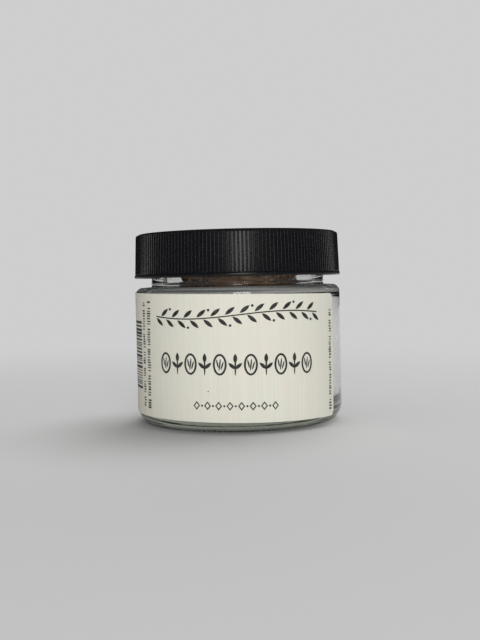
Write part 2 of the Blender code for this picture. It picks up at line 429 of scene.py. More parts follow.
def nutmeg_material():
    """Dry brown seed, with painted shade: darker in its furrows and paler on its ridges, by the
    depth of its relief.
    """
    made, shader = new_material("nutmeg_skin", (0.17, 0.10, 0.055), 0.5)
    shader.inputs["Specular IOR Level"].default_value = 0.25
    tree = made.node_tree
    height, mask = add_grain(tree, object_coordinates(tree), 260.0, 1900.0, 0.45)
    furrow = add_node(tree, "ShaderNodeAttribute", (-850, 250), attribute_name="furrow")
    # From deep furrow to high ridge: painted shade in the furrows and painted light on the ridges,
    # over the seed's own brown.
    stops = [
        (0.0, (0.056, 0.024, 0.010)),
        (0.42, (0.150, 0.068, 0.028)),
        (0.72, (0.235, 0.122, 0.056)),
        (1.0, (0.290, 0.200, 0.130)),
    ]
    base = ramp(tree, furrow.outputs["Fac"], stops, (-600, 250))
    colour = mixed_colour(tree, mask, base, (0.62, 0.56, 0.50), "MULTIPLY")
    tree.links.new(colour, shader.inputs["Base Color"])
    rough = add_node(tree, "ShaderNodeMapRange", (-300, 150))
    set_inputs(rough, To_Min=0.36, To_Max=0.66)
    tree.links.new(mask, rough.inputs["Value"])
    tree.links.new(rough.outputs["Result"], shader.inputs["Roughness"])
    add_bump(tree, shader, height, 0.16 * MM, 0.7)
    return made


# ---------------- the jar's glass

HEEL_R = 5.0 * MM
RING_INNER_R = 24.0 * MM
RING_ROUND = 1.6 * MM
PUSH_UP = 1.6 * MM
FLOOR_Z = 4.6 * MM
FLOOR_CROWN = 0.5 * MM
WALL = 3.0 * MM
SHOULDER_Z = 42.75 * MM
SHOULDER_R = 2.3 * MM
NECK_R = 27.3 * MM
NECK_FILLET = 0.45 * MM
BEAD_Z = 44.1 * MM
BEAD_ROUND = 0.26 * MM
LIP_ROUND = 0.8 * MM
NECK_BORE_R = 24.6 * MM
INNER_HEEL_R = 4.0 * MM
INNER_SHOULDER_Z = 39.4 * MM
INNER_SHOULDER_ROUND = 2.5 * MM
THROAT_Z = 42.4 * MM
GRIP_REACH = (28.7 * MM, 31.2 * MM)  # the nearest and farthest middle of a grip from the axis
GRIP_TOP_Z = 2.6 * MM
GRIP_SLOPE = 0.16 * MM
GRIP_PROUD = 0.14 * MM


def jar_outline():
    """The jar's section, from the middle of the base up the outside and down the inside."""
    inner_r = BODY_R - WALL
    outside = [(0.0, PUSH_UP), (9 * MM, PUSH_UP), (17 * MM, PUSH_UP * 0.92)]
    outside += arc(RING_INNER_R - RING_ROUND, -0.05 * MM, RING_ROUND, 80, 10, 6)
    outside += [(RING_INNER_R + 0.4 * MM, 0.0)]
    outside += arc(BODY_R - HEEL_R, HEEL_R, HEEL_R, -90, 0, 14)
    outside += [(BODY_R, z * MM) for z in (14, 23, 32)]
    outside += arc(BODY_R - SHOULDER_R, SHOULDER_Z - SHOULDER_R, SHOULDER_R, 0, 82, 10)
    outside += [(NECK_R + 1.2 * MM, SHOULDER_Z + 0.12 * MM)]
    outside += arc(NECK_R + NECK_FILLET, SHOULDER_Z + 0.6 * MM, NECK_FILLET, 262, 180, 6)
    outside += arc(NECK_R - 0.1 * MM, BEAD_Z, BEAD_ROUND, -60, 60, 4)
    outside += arc(NECK_R - 0.75 * MM, LIP_Z - LIP_ROUND, LIP_ROUND, 0, 90, 6)
    inside = arc(NECK_BORE_R + LIP_ROUND, LIP_Z - LIP_ROUND, LIP_ROUND, 90, 180, 6)
    inside += arc(NECK_BORE_R + LIP_ROUND, THROAT_Z + 0.4 * MM, LIP_ROUND, 180, 238, 5)
    shoulder_r = inner_r - INNER_SHOULDER_ROUND
    inside += arc(shoulder_r, INNER_SHOULDER_Z - 1.0 * MM, INNER_SHOULDER_ROUND, 50, 0, 6)
    inside += [(inner_r, z * MM) for z in (30, 20, 12)]
    inside += arc(inner_r - INNER_HEEL_R, FLOOR_Z + INNER_HEEL_R, INNER_HEEL_R, 0, -90, 10)
    inside += [(r * MM, FLOOR_Z + FLOOR_CROWN * (1 - (r / 25) ** 2)) for r in (20, 14, 7)]
    return outside + inside + [(0.0, FLOOR_Z + FLOOR_CROWN)]


def knurl_base(piece, grips):
    """Raises the short radial grips round the foot of the jar."""
    open_mesh("FACE", select=False)
    width = math.tau / grips

    def on_grip(face):
        middle = face.calc_center_median()
        reach = math.hypot(middle.x, middle.y)
        turn = (math.atan2(middle.y, middle.x) / width) % 1
        near, far = GRIP_REACH
        return near < reach < far and middle.z < GRIP_TOP_Z and turn < 0.5

    select_where(piece, "faces", on_grip)
    bpy.ops.mesh.inset(thickness=GRIP_SLOPE, depth=GRIP_PROUD)
    finish_mode()


def on_shoulder(face):
    """Whether a face of the jar is on the outside of the shoulder."""
    middle = face.calc_center_median()
    reach = math.hypot(middle.x, middle.y)
    low, high = SHOULDER_Z - SHOULDER_R, SHOULDER_Z + 0.3 * MM
    return reach > NECK_R + 0.3 * MM and low < middle.z < high


class NUTJAR_OT_glass(bpy.types.Operator):
    """Adds the glass jar: a spun section with a hollow base, a knurled heel and a beaded neck"""

    bl_idname = "nutjar.glass"
    bl_label = "Glass Jar"

    def execute(self, context):
        sizes = context.scene.nutjar_glass
        piece = turned("glass_jar", jar_outline(), sizes.grips * 2)
        knurl_base(piece, sizes.grips)
        shade(piece)
        dress(piece, glass_material("clear_glass", 1.0, 0.012), "clear_glass", "jar")
        # The outside of the shoulder takes the paler, streaked glass, which paints the grey light
        # the shoulder bends and reflects.
        piece.data.materials.append(shoulder_glass_material())
        open_mesh("FACE", select=False)
        select_where(piece, "faces", on_shoulder)
        piece.active_material_index = 1
        bpy.ops.object.material_slot_assign()
        finish_mode()
        return {"FINISHED"}


# ---------------- the screw cap

CAP_DRAFT = 0.4 * MM
CAP_RIM_H = 1.1 * MM
CAP_RIM_PROUD = 0.18 * MM
CAP_RIM_ROUND = 0.3 * MM
CAP_WALL = 2.3 * MM
CAP_TOP_THICK = 1.9 * MM
CAP_EDGE_ROUND = 1.15 * MM
CAP_DISH = 0.25 * MM
CAP_DISH_EDGES = (0.80, 0.83)  # where the top's dish starts to rise and ends, in the foot's radius
CAP_BORE_CHAMFER = 0.4 * MM
RIB_TOP_GAP = 0.5 * MM
RIB_STEPS = ((0.07 * MM, 0.72), (0.08 * MM, 0.28))  # a flank's step in, and its share of the height


def rib_skirt(piece, ribs, height):
    """Raises every second strip of the skirt into an upright rib with sloping ends."""
    open_mesh("FACE", select=False)
    low = CAP_LOW.z + CAP_RIM_H
    high = CAP_HIGH.z - RIB_TOP_GAP
    width = math.tau / ribs

    def on_rib(face):
        middle = face.calc_center_median()
        turn = (math.atan2(middle.y, middle.x) / width) % 1
        outside = face.normal.x * middle.x + face.normal.y * middle.y > 0
        on_skirt = math.hypot(middle.x, middle.y) > BODY_R * 0.955
        return outside and on_skirt and low < middle.z < high and turn < 0.5

    select_where(piece, "faces", on_rib)
    for slope, share in RIB_STEPS:
        bpy.ops.mesh.inset(thickness=slope, depth=height * share)
    finish_mode()


def cap_outline(rib_height):
    """The cap's section, from the middle of the top down the outside and up the bore."""
    foot_r = CAP_HIGH.x - CAP_RIM_PROUD - rib_height
    rim_r = CAP_HIGH.x
    top_z = CAP_HIGH.z
    dish_z = top_z - CAP_DISH
    dish_r, flat_r = (foot_r * share for share in CAP_DISH_EDGES)
    edge_r = foot_r - CAP_DRAFT - CAP_EDGE_ROUND
    rim_z = CAP_LOW.z + CAP_RIM_H
    bore_r = foot_r - CAP_WALL + 0.3 * MM
    ceiling = top_z - CAP_TOP_THICK
    outline = [(0.0, dish_z), (dish_r, dish_z), (flat_r, top_z)]
    outline += arc(edge_r, top_z - CAP_EDGE_ROUND, CAP_EDGE_ROUND, 90, 0, 5)
    outline += [(foot_r, rim_z + 0.25 * MM)]
    outline += arc(rim_r - CAP_RIM_ROUND, rim_z - CAP_RIM_ROUND, CAP_RIM_ROUND, 90, 0, 3)
    outline += arc(rim_r - CAP_RIM_ROUND, CAP_LOW.z + CAP_RIM_ROUND, CAP_RIM_ROUND, 0, -90, 3)
    outline += [(bore_r + CAP_BORE_CHAMFER, CAP_LOW.z), (bore_r, CAP_LOW.z + CAP_BORE_CHAMFER)]
    return outline + [(bore_r, ceiling), (0.0, ceiling)]


class NUTJAR_OT_cap(bpy.types.Operator):
    """Adds the black screw cap: a drafted cup with a round edge, upright ribs and a plain rim"""

    bl_idname = "nutjar.cap"
    bl_label = "Screw Cap"

    def execute(self, context):
        sizes = context.scene.nutjar_cap
        piece = turned("screw_cap", cap_outline(sizes.rib_height), sizes.ribs * 2)
        rib_skirt(piece, sizes.ribs, sizes.rib_height)
        shade(piece, 50)
        dress(piece, cap_material(), "black_plastic", "cap")
        return {"FINISHED"}


# ---------------- the label and its print

LABEL_RIGHT = math.radians(61) * BODY_R  # its right end, along the jar's side from the front
LABEL_LOW_Z = 3.35 * MM  # its lower edge at the front
PAPER_LIFT = 0.02 * MM
BEND_STEP = 0.8 * MM


def flat_sheet(name, left, right, low, high, corner_r=0.0, corner_steps=6):
    """A flat rectangle in the XZ plane, with round corners where corner_r is set."""
    select_none()
    middle = ((left + right) / 2, 0, (low + high) / 2)
    bpy.ops.mesh.primitive_plane_add(size=1, location=middle, rotation=(math.pi / 2, 0, 0))
    piece = named(name)
    piece.scale = (right - left, high - low, 1)
    apply_place(piece)
    if corner_r:
        open_mesh()
        bpy.ops.mesh.bevel(offset=corner_r, segments=corner_steps, affect="VERTICES")
        finish_mode()
    return piece


def lay_on_jar(piece, lift, tilt, thickness=0.0):
    """Tilts a flat piece as the label is, bends it round the jar at a lift, and thickens it."""
    piece.matrix_world = Matrix.Rotation(tilt, 4, "Y")
    apply_place(piece)
    wrap_round(piece, BODY_R + lift, BEND_STEP)
    piece.location = (0, -BODY_R - lift, 0)  # the bend leaves its axis one radius behind the origin
    apply_place(piece)
    if thickness:
        apply_modifier(piece, "SOLIDIFY", thickness=thickness, offset=1.0)


class NUTJAR_OT_label(bpy.types.Operator):
    """Adds the paper label: a thin sheet with round corners, wrapped a little crooked"""

    bl_idname = "nutjar.label"
    bl_label = "Paper Label"

    def execute(self, context):
        sizes = context.scene.nutjar_label
        left = LABEL_RIGHT - sizes.length
        high = LABEL_LOW_Z + sizes.height
        piece = flat_sheet("paper_label", left, LABEL_RIGHT, LABEL_LOW_Z, high, sizes.corner)
        lay_on_jar(piece, PAPER_LIFT, sizes.tilt, sizes.thickness)
        shade(piece, 60)
        dress(piece, paper_material(), "cream_paper", "label")
        return {"FINISHED"}


# Heights and places on the flat label, with x along the jar's side from the front
INK_LIFT = 0.015 * MM
INK_THICK = 0.008 * MM
PRINT_SEED = 4
VINE_X = (-28.0 * MM, 25.5 * MM)
VINE_Z = 34.3 * MM
VINE_WAVE = 1.2 * MM
VINE_PERIOD = 65.0 * MM
VINE_PHASE = 1.3 * MM
VINE_STEPS = 60
VINE_LEAVES = 25
STEM_THICK = 0.36 * MM
TITLE_X = (-24.0 * MM, 21.2 * MM)
TITLE_Z = 20.2 * MM
TITLE_SIGNS = 11
FOOT_X = (-13.0 * MM, 10.4 * MM)
FOOT_Z = 8.2 * MM
FOOT_MARKS = 15
NOTE_COLUMNS = (  # each column of small marks: its x, its width, and its lowest and highest point
    (-32.4 * MM, 2.2 * MM, 5.8 * MM, 37.8 * MM),
    (-35.6 * MM, 1.7 * MM, 6.2 * MM, 38.0 * MM),
    (32.6 * MM, 1.7 * MM, 5.4 * MM, 35.4 * MM),
)
BARS_X = (-45.6 * MM, -37.6 * MM)
BARS_Z = (11.2 * MM, 32.0 * MM)
SPECK = (-9.4 * MM, 12.4 * MM, 0.22 * MM)  # its x, its height on the label and its radius


def flat_oval(x, z, half_wide, half_high, turn=0.0, sides=20):
    """A flat oval in the XZ plane, turned in that plane."""
    bpy.ops.mesh.primitive_circle_add(vertices=sides, radius=1, fill_type="NGON")
    piece = bpy.context.object
    piece.location = (x, 0, z)
    piece.rotation_euler = (math.pi / 2, turn, 0)
    piece.scale = (half_wide, half_high, 1)
    apply_place(piece)
    return piece


def flat_leaf(x, z, half_wide, half_high, turn=0.0):
    """A flat leaf with two pointed ends: a diamond whose side corners are rounded."""
    bpy.ops.mesh.primitive_circle_add(vertices=4, radius=1, fill_type="NGON")
    piece = bpy.context.object
    open_mesh(select=False)
    select_where(piece, "verts", lambda v: abs(v.co.y) < 0.5)
    bpy.ops.mesh.bevel(offset=0.95, segments=8, affect="VERTICES")
    finish_mode()
    piece.location = (x, 0, z)
    piece.rotation_euler = (math.pi / 2, turn, 0)
    piece.scale = (half_wide * 1.35, half_high, 1)
    apply_place(piece)
    return piece


def hollowed(piece, line):
    """Leaves only the outline of a flat shape, as wide as line."""
    select_pieces(piece)
    open_mesh("FACE")
    bpy.ops.mesh.inset(thickness=line)
    bpy.ops.mesh.delete(type="FACE")
    finish_mode()
    return piece


def print_sign(name, shapes, tilt):
    """Joins flat shapes and lays them on the paper."""
    piece = joined(name, shapes)
    lift = PAPER_LIFT + bpy.context.scene.nutjar_label.thickness + INK_LIFT
    lay_on_jar(piece, lift, tilt, INK_THICK)
    return piece


def vine_height(x):
    return VINE_Z + VINE_WAVE * math.sin(math.tau * (x + VINE_PHASE) / VINE_PERIOD)


def vine_shapes():
    """A waved stem with leaves by turns above and below it, and a berry after every third."""
    first, last = VINE_X
    xs = [first + (last - first) * k / VINE_STEPS for k in range(VINE_STEPS + 1)]
    select_none()
    bpy.ops.mesh.primitive_plane_add(size=0.24 * MM, location=(first, 0, vine_height(first)))
    stem = bpy.context.object
    apply_place(stem)
    open_mesh()
    bpy.ops.mesh.merge(type="CENTER")
    bpy.ops.mesh.extrude_region_move(TRANSFORM_OT_translate={"value": (0, 0, STEM_THICK)})
    bpy.ops.mesh.select_all(action="SELECT")
    for x0, x1 in zip(xs, xs[1:]):
        rise = vine_height(x1) - vine_height(x0)
        bpy.ops.mesh.extrude_region_move(TRANSFORM_OT_translate={"value": (x1 - x0, 0, rise)})
    finish_mode()
    shapes = [stem]
    for k in range(VINE_LEAVES):
        x = first + (last - first) * (k + 0.5) / VINE_LEAVES
        middle = vine_height(x) + STEM_THICK / 2
        side = 1 if k % 2 else -1
        slope = math.radians(52 if side > 0 else 128)
        z = middle + side * 1.5 * MM
        shapes.append(flat_leaf(x + 0.5 * MM, z, 0.70 * MM, 1.85 * MM, slope))
        if k % 3 == 1:
            z = middle + side * 2.5 * MM
            shapes.append(flat_oval(x + 2.7 * MM, z, 0.40 * MM, 0.40 * MM, sides=12))
    return shapes


def nut_sign(x, z):
    """A nutmeg as a drawing: an oval ring with three tapering wrinkles."""
    shapes = [hollowed(flat_oval(x, z, 2.05 * MM, 3.15 * MM, sides=28), 0.60 * MM)]
    for k, turn in ((-1, -0.22), (0, 0.12), (1, 0.30)):
        half_high = (1.75 - abs(k) * 0.5) * MM
        at = x + k * 0.70 * MM, z - k * 0.3 * MM
        shapes.append(flat_oval(*at, 0.23 * MM, half_high, turn))
    return shapes


def sprig_sign(x, z):
    """An upright stem with a leaf at its top and two below."""
    stem = flat_oval(x, z - 0.6 * MM, 0.26 * MM, 2.6 * MM)
    top = flat_leaf(x, z + 1.8 * MM, 0.72 * MM, 1.45 * MM)
    left = flat_leaf(x - 0.95 * MM, z - 0.4 * MM, 0.62 * MM, 1.45 * MM, -0.85)
    right = flat_leaf(x + 0.95 * MM, z - 0.4 * MM, 0.62 * MM, 1.45 * MM, 0.85)
    return [stem, top, left, right]


def title_shapes():
    """The big row across the middle: nutmegs and sprigs by turns."""
    first, last = TITLE_X
    shapes = []
    for k in range(TITLE_SIGNS):
        x = first + (last - first) * k / (TITLE_SIGNS - 1)
        shapes += sprig_sign(x, TITLE_Z) if k % 2 else nut_sign(x, TITLE_Z)
    return shapes


def foot_shapes():
    """The small row near the lower edge: lozenges with a dot between them."""
    first, last = FOOT_X
    shapes = []
    for k in range(FOOT_MARKS):
        x = first + (last - first) * k / (FOOT_MARKS - 1)
        if k % 2:
            shapes.append(flat_oval(x, FOOT_Z, 0.32 * MM, 0.32 * MM, sides=12))
        else:
            shapes.append(hollowed(flat_oval(x, FOOT_Z, 1.05 * MM, 1.3 * MM, sides=4), 0.34 * MM))
    return shapes + [flat_oval(SPECK[0], SPECK[1], SPECK[2], SPECK[2] * 0.8, sides=9)]


def note_shapes(random):
    """Upright columns of small cross strokes, in groups of uneven length."""
    shapes = []
    for x, width, low, high in NOTE_COLUMNS:
        z = low
        left_in_group = 4
        while z < high:
            left = x - width * random.uniform(0.25, 0.5)
            right = x + width * random.uniform(0.25, 0.5)
            high_end = z + random.uniform(0.28, 0.52) * MM
            shapes.append(flat_sheet("stroke", left, right, z, high_end))
            z += random.uniform(0.66, 0.92) * MM
            left_in_group -= 1
            if left_in_group == 0:
                z += 0.9 * MM
                left_in_group = int(random.integers(4, 10))
    return shapes


def bar_shapes(random):
    """A block of plain stripes of uneven width."""
    shapes = []
    z = BARS_Z[0]
    while z < BARS_Z[1]:
        high = random.choice([0.26, 0.26, 0.52, 0.78]) * MM
        shapes.append(flat_sheet("bar", BARS_X[0], BARS_X[1], z, z + high))
        z += high + random.choice([0.26, 0.52, 0.52]) * MM
    return shapes


class NUTJAR_OT_print(bpy.types.Operator):
    """Adds the label's black print: a leafy vine, a row of nutmegs and sprigs, and small marks"""

    bl_idname = "nutjar.print"
    bl_label = "Label Print"

    def execute(self, context):
        ink = ink_material()
        random = np.random.default_rng(PRINT_SEED)
        tilt = context.scene.nutjar_label.tilt
        prints = {
            "print_vine": vine_shapes(),
            "print_title_row": title_shapes(),
            "print_foot_row": foot_shapes(),
            "print_note_columns": note_shapes(random),
            "print_bars": bar_shapes(random),
        }
        for name, shapes in prints.items():
            dress(print_sign(name, shapes, tilt), ink, "cream_paper")
        return {"FINISHED"}


# ---------------- the nutmegs

# The jar's room and the way the nuts settle are the same as in the solid that they stand for
NUT_HALF_LENGTH = 12.0 * MM
NUT_HALF_WIDTH = 9.0 * MM
NUT_SIZES = (0.93, 1.06)
NUT_SEED = 17
NUT_LAYERS = (  # how many lie in a ring, the ring's radius, its height, and the first one's azimuth
    (6, 19.5 * MM, 14 * MM, math.radians(0)),
    (1, 0.0, 14 * MM, 0.0),
    (6, 19.0 * MM, 32 * MM, math.radians(30)),
    (1, 0.0, 32 * MM, 0.0),
    (3, 12.0 * MM, 46 * MM, math.radians(4)),
)
NUT_TOP_Z = 52.5 * MM
HEAP_TURN = math.radians(-16)  # the settled heap is then turned about the jar's axis
NUT_CLEARANCE = 0.3 * MM
SETTLE_STEPS = 900
SETTLE_DROP = 0.06 * MM
AXIS_SCATTER = 0.45
NUT_PUSH = 0.3  # the share of an overlap with another nut that each step undoes
WALL_PUSH = 0.6  # and of an overlap with the jar
BALL_OFFSETS = np.array([-0.42, 0.0, 0.42])
BALL_SIZES = np.array([0.80, 1.0, 0.80])
LOWER_NUTS = 9  # this many of them make the first of the two joined pieces
SPIN_SEED = 29
NUT_START_R = 0.94
NUT_FLATNESS = 0.42  # how flat the ball is while the relief is cut, so that furrows run lengthwise
LUMP_RELIEF = 0.16
NET_RELIEF = 0.075
CREASE_RELIEF = 0.035
NUT_TAPER = 0.16
CORE_SPOT = 40
CORE_DETAIL = 5
CORE_SIZE = 1.12
CORE_Z = 24 * MM


def wall_push(balls, ball_r):
    """How far each ball has to move to be back inside the jar."""
    away = np.linalg.norm(balls[:, :2], axis=1)
    body = BODY_R - WALL - NUT_CLEARANCE - ball_r
    corner = BODY_R - WALL + INNER_SHOULDER_Z
    shoulder = corner - balls[:, 2] - math.sqrt(2) * (ball_r + NUT_CLEARANCE)
    room = np.maximum(np.minimum(body, shoulder), NECK_BORE_R - NUT_CLEARANCE - ball_r)
    push = np.zeros_like(balls)
    out = np.clip(away - room, 0, None)
    push[:, :2] = -balls[:, :2] * (out / np.maximum(away, 1e-9))[:, None]
    push[:, 2] = np.clip(FLOOR_Z + NUT_CLEARANCE + ball_r - balls[:, 2], 0, None)
    push[:, 2] -= np.clip(balls[:, 2] + ball_r - NUT_TOP_Z, 0, None)
    return push


def settled_nuts():
    """Centres, long axes and sizes of the nutmegs, after they have sunk into the jar together."""
    random = np.random.default_rng(NUT_SEED)
    centres = []
    axes = []
    for count, ring_r, height, first in NUT_LAYERS:
        for k in range(count):
            azimuth = first + math.tau * k / count
            centres.append((ring_r * math.sin(azimuth), -ring_r * math.cos(azimuth), height))
            axes.append((math.cos(azimuth), math.sin(azimuth), 0.0))
    centres = np.array(centres)
    axes = np.array(axes) + random.normal(scale=AXIS_SCATTER, size=(len(axes), 3))
    axes /= np.linalg.norm(axes, axis=1)[:, None]
    sizes = random.uniform(*NUT_SIZES, size=len(centres))
    ball_r = (NUT_HALF_WIDTH * sizes[:, None] * BALL_SIZES).ravel()
    ball_at = NUT_HALF_LENGTH * sizes[:, None] * BALL_OFFSETS
    owner = np.repeat(np.arange(len(centres)), len(BALL_OFFSETS))
    apart = owner[:, None] != owner[None, :]
    for step in range(SETTLE_STEPS):
        centres[:, 2] -= SETTLE_DROP * (1 - step / SETTLE_STEPS)
        balls = (centres[:, None] + axes[:, None] * ball_at[..., None]).reshape(-1, 3)
        between = balls[:, None] - balls[None]
        distance = np.linalg.norm(between, axis=2) + ~apart
        depth = np.clip(ball_r[:, None] + ball_r[None] - distance, 0, None) * apart
        push = NUT_PUSH * (between / distance[..., None] * depth[..., None]).sum(axis=1)
        push += WALL_PUSH * wall_push(balls, ball_r)
        push = push.reshape(len(centres), -1, 3)
        centres += push.sum(axis=1)
        axes += (push * ball_at[..., None]).sum(axis=1) / (3 * NUT_HALF_WIDTH**2)
        axes /= np.linalg.norm(axes, axis=1)[:, None]
    turn = np.array(Matrix.Rotation(HEAP_TURN, 3, "Z")).T
    return centres @ turn, axes @ turn, sizes


def relief_texture(name, kind, **settings):
    texture = bpy.data.textures.get(name) or bpy.data.textures.new(name, kind)
    for setting, value in settings.items():
        setattr(texture, setting, value)
    return texture


def nut_textures():
    """The nutmegs' broad lumps, their net of furrows and their fine creases."""
    lumps = relief_texture("nut lumps", "CLOUDS", noise_scale=1.1, noise_depth=1)
    net = relief_texture(
        "nut furrow net",
        "VORONOI",
        noise_scale=0.20,
        weight_1=-1.0,
        weight_2=1.0,
        noise_intensity=1.6,
    )
    creases = relief_texture(
        "nut creases", "MUSGRAVE", musgrave_type="RIDGED_MULTIFRACTAL", noise_scale=0.34
    )
    return lumps, net, creases


def lengths(piece):
    """How far each point of a piece is from its middle."""
    co = np.empty(len(piece.data.vertices) * 3)
    piece.data.vertices.foreach_get("co", co)
    return np.linalg.norm(co.reshape(-1, 3), axis=1)


def displace(piece, texture, strength, middle=0.5):
    settings = {"texture": texture, "texture_coords": "GLOBAL"}
    apply_modifier(piece, "DISPLACE", strength=strength, mid_level=middle, **settings)


def one_nutmeg(k, detail):
    """A unit nutmeg on end, cut at its own spot in the relief textures, with the depth of its
    furrows marked for the painted shade.
    """
    lumps, net, creases = nut_textures()
    select_none()
    spot = (6.1 * k, 3.7 * k, 0)
    bpy.ops.mesh.primitive_ico_sphere_add(subdivisions=detail, radius=NUT_START_R, location=spot)
    piece = named("nutmeg_part")
    piece.scale.z = NUT_FLATNESS
    displace(piece, lumps, LUMP_RELIEF)
    before = lengths(piece)
    displace(piece, net, NET_RELIEF, 0.35)
    displace(piece, creases, CREASE_RELIEF)
    relief = lengths(piece) - before
    low, high = np.percentile(relief, (3, 97))
    # How deep each point lies in the relief: it paints shade into the furrows and light onto the
    # ridges.
    marks = piece.data.attributes.new("furrow", "FLOAT", "POINT")
    shares = np.clip((relief - low) / (high - low), 0, 1)
    marks.data.foreach_set("value", shares.astype(np.float32))
    piece.scale.z = 1
    piece.location = (0, 0, 0)
    apply_modifier(
        piece, "SIMPLE_DEFORM", deform_method="TAPER", deform_axis="Z", factor=NUT_TAPER
    )
    return piece


def place_nutmeg(piece, centre, axis, size, spin):
    """Brings a unit nutmeg to its size and place, spun about its long axis."""
    turn = Vector((0, 0, 1)).rotation_difference(Vector(axis)).to_matrix().to_4x4()
    wide, long = NUT_HALF_WIDTH * size, NUT_HALF_LENGTH * size
    stretch = Matrix.Rotation(spin, 4, "Z") @ Matrix.Diagonal((wide, wide, long, 1))
    piece.matrix_world = Matrix.Translation(centre) @ turn @ stretch
    apply_place(piece)


class NUTJAR_OT_nutmegs(bpy.types.Operator):
    """Adds the wrinkled nutmegs, settled into the jar, and the plain core between them"""

    bl_idname = "nutjar.nutmegs"
    bl_label = "Nutmegs"

    def execute(self, context):
        sizes = context.scene.nutjar_nutmegs
        skin = nutmeg_material()
        random = np.random.default_rng(SPIN_SEED)
        pieces = []
        for k, (centre, axis, size) in enumerate(zip(*settled_nuts())):
            piece = one_nutmeg(k, sizes.detail)
            place_nutmeg(piece, centre, axis, size, random.uniform(0, math.tau))
            pieces.append(piece)
        lower = joined("nutmegs_lower", pieces[:LOWER_NUTS])
        upper = joined("nutmegs_upper", pieces[LOWER_NUTS:])
        core = one_nutmeg(CORE_SPOT, CORE_DETAIL)
        place_nutmeg(core, (0, 0, CORE_Z), (0, 0, 1), CORE_SIZE, 0.0)
        core = joined("nutmeg_core", [core])
        for piece in (lower, upper, core):
            shade(piece)
            dress(piece, skin, "nutmeg", "nutmegs")
        return {"FINISHED"}


# ---------------- the stage

FLOOR_R = 3.0
FLOOR_RINGS = 3
FLOOR_RING_WIDTH = 0.6
FLOOR_FADE = (0.11, 0.42)  # distances from the jar, between which the floor fades to an even tone
ROOM_GLOSS = (0.04, 0.08)  # how bright the room looks in gloss: its back and sides, and its front
LIGHT_AIM = Vector((0, 0, 30 * MM))
LIGHTS = (  # name, place, width and height, the value for its power, and whether gloss sees it
    ("front_softbox", (0.10, -1.20, 0.42), (0.40, 0.70), "front_watts", True),
    ("front_fill", (0.05, -1.20, 0.13), (0.80, 0.22), "fill_watts", False),
    ("back_fill", (0.10, 1.30, 0.40), (0.80, 0.80), "back_watts", False),
    ("top_softbox", (0.32, 0.42, 1.10), (0.80, 0.80), "top_watts", False),
)


def floor_material(pale):
    """A pale floor that keeps the jar's shadow, and fades to an even tone away from it."""
    made, shader = new_material("pale_floor", (pale * 0.82,) * 3, 0.9)
    shader.inputs["Specular IOR Level"].default_value = 0.0
    tree = made.node_tree
    where = add_node(tree, "ShaderNodeTexCoord", (-1000, 200))
    away = add_node(tree, "ShaderNodeVectorMath", (-800, 200), operation="LENGTH")
    tree.links.new(where.outputs["Object"], away.inputs[0])
    fade = add_node(tree, "ShaderNodeMapRange", (-600, 200), interpolation_type="SMOOTHSTEP")
    set_inputs(fade, From_Min=FLOOR_FADE[0], From_Max=FLOOR_FADE[1])
    tree.links.new(away.outputs["Value"], fade.inputs["Value"])
    share = add_node(tree, "ShaderNodeMath", (-400, 100), operation="MULTIPLY")
    tree.links.new(fade.outputs["Result"], share.inputs[0])
    tree.links.new(seen_plainly(tree, (-800, -100)), share.inputs[1])
    glow = add_node(tree, "ShaderNodeEmission", (-200, -200))
    set_inputs(glow, Color=(pale, pale, pale, 1), Strength=1.0)
    blend = mixed_shader(
        tree, share.outputs["Value"], shader.outputs["BSDF"], glow.outputs["Emission"]
    )
    tree.links.new(blend, tree.nodes["Material Output"].inputs["Surface"])
    return made


def set_world(pale, light):
    """Soft light from all round, which the camera and clear glass see as the floor's pale tone.

    Gloss sees a dark room with a lighter front.
    """
    world = bpy.data.worlds.new("soft room")
    bpy.context.scene.world = world
    world.use_nodes = True
    tree = world.node_tree
    shown = tree.nodes["Background"]
    set_inputs(shown, Color=(pale, pale, pale, 1), Strength=1.0)
    lit = add_node(tree, "ShaderNodeBackground", (0, -200))
    set_inputs(lit, Color=(1.0, 1.0, 1.0, 1), Strength=light)
    where = add_node(tree, "ShaderNodeTexCoord", (-800, -500))
    split = add_node(tree, "ShaderNodeSeparateXYZ", (-600, -500))
    tree.links.new(where.outputs["Generated"], split.inputs["Vector"])
    front = add_node(tree, "ShaderNodeMapRange", (-400, -500), interpolation_type="SMOOTHSTEP")
    set_inputs(front, From_Min=0.0, From_Max=-1.0, To_Min=ROOM_GLOSS[0], To_Max=ROOM_GLOSS[1])
    tree.links.new(split.outputs["Y"], front.inputs["Value"])
    gloss = add_node(tree, "ShaderNodeBackground", (0, -400))
    tree.links.new(front.outputs["Result"], gloss.inputs["Strength"])
    is_gloss = add_node(tree, "ShaderNodeLightPath", (-400, 0)).outputs["Is Glossy Ray"]
    unseen = mixed_shader(tree, is_gloss, lit.outputs[0], gloss.outputs[0], (200, -200))
    seen = seen_plainly(tree, (-400, 200))
    both = mixed_shader(tree, seen, unseen, shown.outputs[0], (400, 0))
    tree.links.new(both, tree.nodes["World Output"].inputs["Surface"])


def add_area_light(name, place, size, watts, in_gloss):
    """A rectangular soft light that faces the jar, from its width and height."""
    bpy.ops.object.light_add(type="AREA", location=place)
    light = bpy.context.object
    light.name = name
    light.data.shape = "RECTANGLE"
    light.data.size, light.data.size_y = size
    light.data.energy = watts
    light.visible_camera = False
    light.visible_transmission = False
    light.visible_glossy = in_gloss
    aim = LIGHT_AIM - Vector(place)
    light.rotation_euler = aim.to_track_quat("-Z", "Y").to_euler()


def add_camera(sizes):
    place = Vector((sizes.camera_side, -sizes.camera_away, sizes.camera_height))
    bpy.ops.object.camera_add(location=place)
    camera = bpy.context.object
    camera.name = "front_camera"
    pitch = Matrix.Rotation(math.pi / 2 - sizes.camera_pitch, 4, "X")
    roll = Matrix.Rotation(sizes.camera_roll, 4, "Z")
    camera.matrix_world = Matrix.Translation(place) @ pitch @ roll
    camera.data.sensor_width = 36.0
    camera.data.lens = sizes.camera_lens
    camera.data.clip_start = 0.01
    bpy.context.scene.camera = camera


